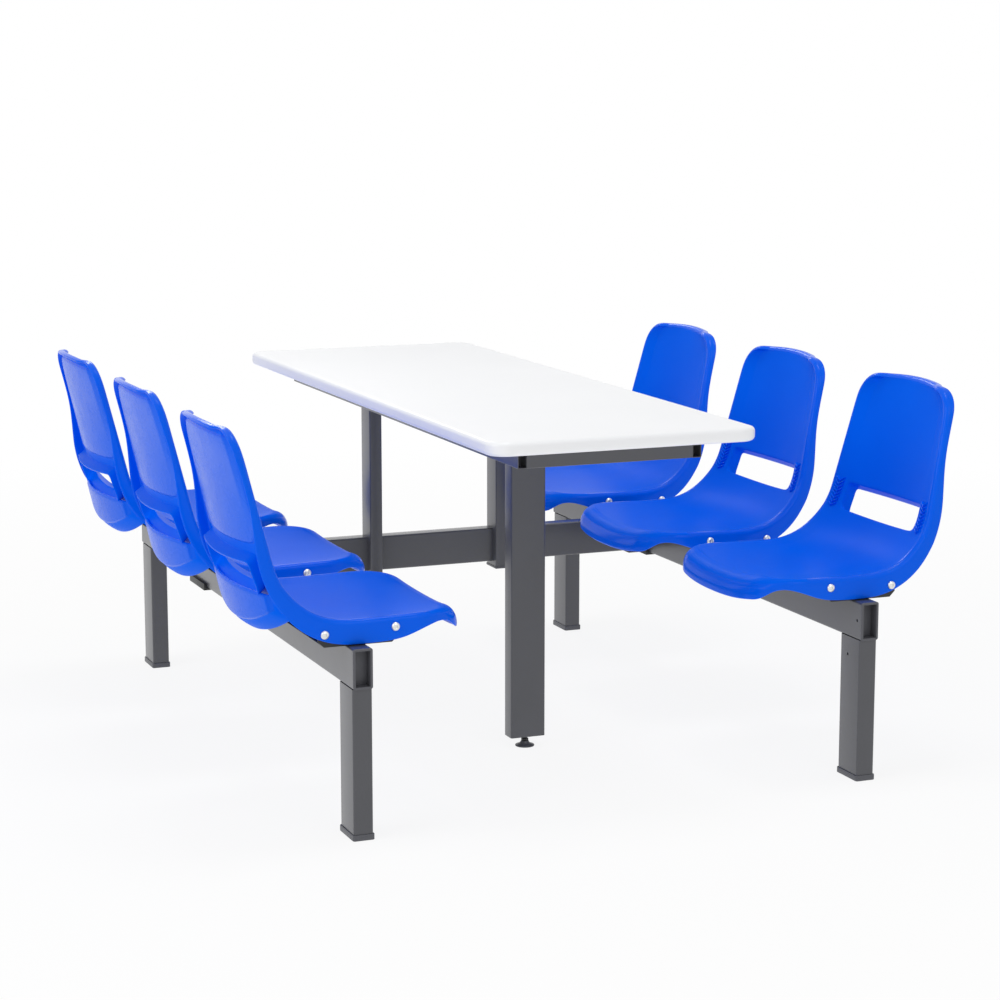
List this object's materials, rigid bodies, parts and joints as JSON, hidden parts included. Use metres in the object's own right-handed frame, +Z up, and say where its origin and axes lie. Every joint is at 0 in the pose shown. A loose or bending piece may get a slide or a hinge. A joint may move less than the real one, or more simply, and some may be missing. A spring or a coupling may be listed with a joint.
{
  "type": "canteen table with fixed seats",
  "caption": "Rectangular canteen table and two facing rows of moulded shell seats on one welded steel tube frame, with plastic feet and a levelling glide.",
  "frame": {"origin": "on the floor, below the middle of the table", "axes": "+X across the table towards the right-hand bench, +Y along the table away from the levelling post, +Z up"},
  "size_m": [1.622, 1.626, 0.8062],
  "materials": {
    "grey_steel": "dark grey powder coat on steel tube, satin",
    "black_steel": "black powder coat on pressed steel, satin",
    "black_plastic": "moulded black plastic, fine texture",
    "white_laminate": "wood-based board faced with white laminate, rounded edge",
    "seat_plastic": "injection-moulded blue polypropylene, semi-gloss, fine grain on the sitting side",
    "zinc_steel": "bright zinc-plated steel"
  },
  "bodies": {
    "unit": {"far_end_rail": "grey_steel", "far_post_rail": "grey_steel", "left_beam": "grey_steel", "left_bracket_1": "black_steel", "left_bracket_2": "black_steel", "left_bracket_3": "black_steel", "left_far_beam_cap": "black_plastic", "left_far_bolts_1": "zinc_steel", "left_far_bolts_2": "zinc_steel", "left_far_bolts_3": "zinc_steel", "left_far_foot": "black_plastic", "left_far_leg": "grey_steel", "left_near_beam_cap": "black_plastic", "left_near_bolts_1": "zinc_steel", "left_near_bolts_2": "zinc_steel", "left_near_bolts_3": "zinc_steel", "left_near_foot": "black_plastic", "left_near_leg": "grey_steel", "left_post": "grey_steel", "left_post_cap": "black_plastic", "left_rail": "grey_steel", "left_saddle": "black_steel", "left_seat_1": "seat_plastic", "left_seat_2": "seat_plastic", "left_seat_3": "seat_plastic", "left_stretcher": "grey_steel", "middle_stretcher": "grey_steel", "near_end_rail": "grey_steel", "near_post": "grey_steel", "near_post_plug": "black_plastic", "near_post_rail": "grey_steel", "right_beam": "grey_steel", "right_bracket_1": "black_steel", "right_bracket_2": "black_steel", "right_bracket_3": "black_steel", "right_far_beam_cap": "black_plastic", "right_far_bolts_1": "zinc_steel", "right_far_bolts_2": "zinc_steel", "right_far_bolts_3": "zinc_steel", "right_far_foot": "black_plastic", "right_far_leg": "grey_steel", "right_near_beam_cap": "black_plastic", "right_near_bolts_1": "zinc_steel", "right_near_bolts_2": "zinc_steel", "right_near_bolts_3": "zinc_steel", "right_near_foot": "black_plastic", "right_near_leg": "grey_steel", "right_post": "grey_steel", "right_post_cap": "black_plastic", "right_rail": "grey_steel", "right_saddle": "black_steel", "right_seat_1": "seat_plastic", "right_seat_2": "seat_plastic", "right_seat_3": "seat_plastic", "right_stretcher": "grey_steel", "table_top": "white_laminate"},
    "stem": {"levelling_stem": "black_steel"},
    "pad": {"levelling_pad": "black_plastic"}
  },
  "joints": [
    {"name": "stem_travel", "type": "slide", "parent": "unit", "child": "stem", "axis": [0, 0, 1], "range_m": [-0.015, 0.005]},
    {"name": "pad_swivel", "type": "hinge", "parent": "stem", "child": "pad", "pos_m": [0, -0.28, 0.006], "axis": [0, 0, 1], "continuous": true}
  ]
}
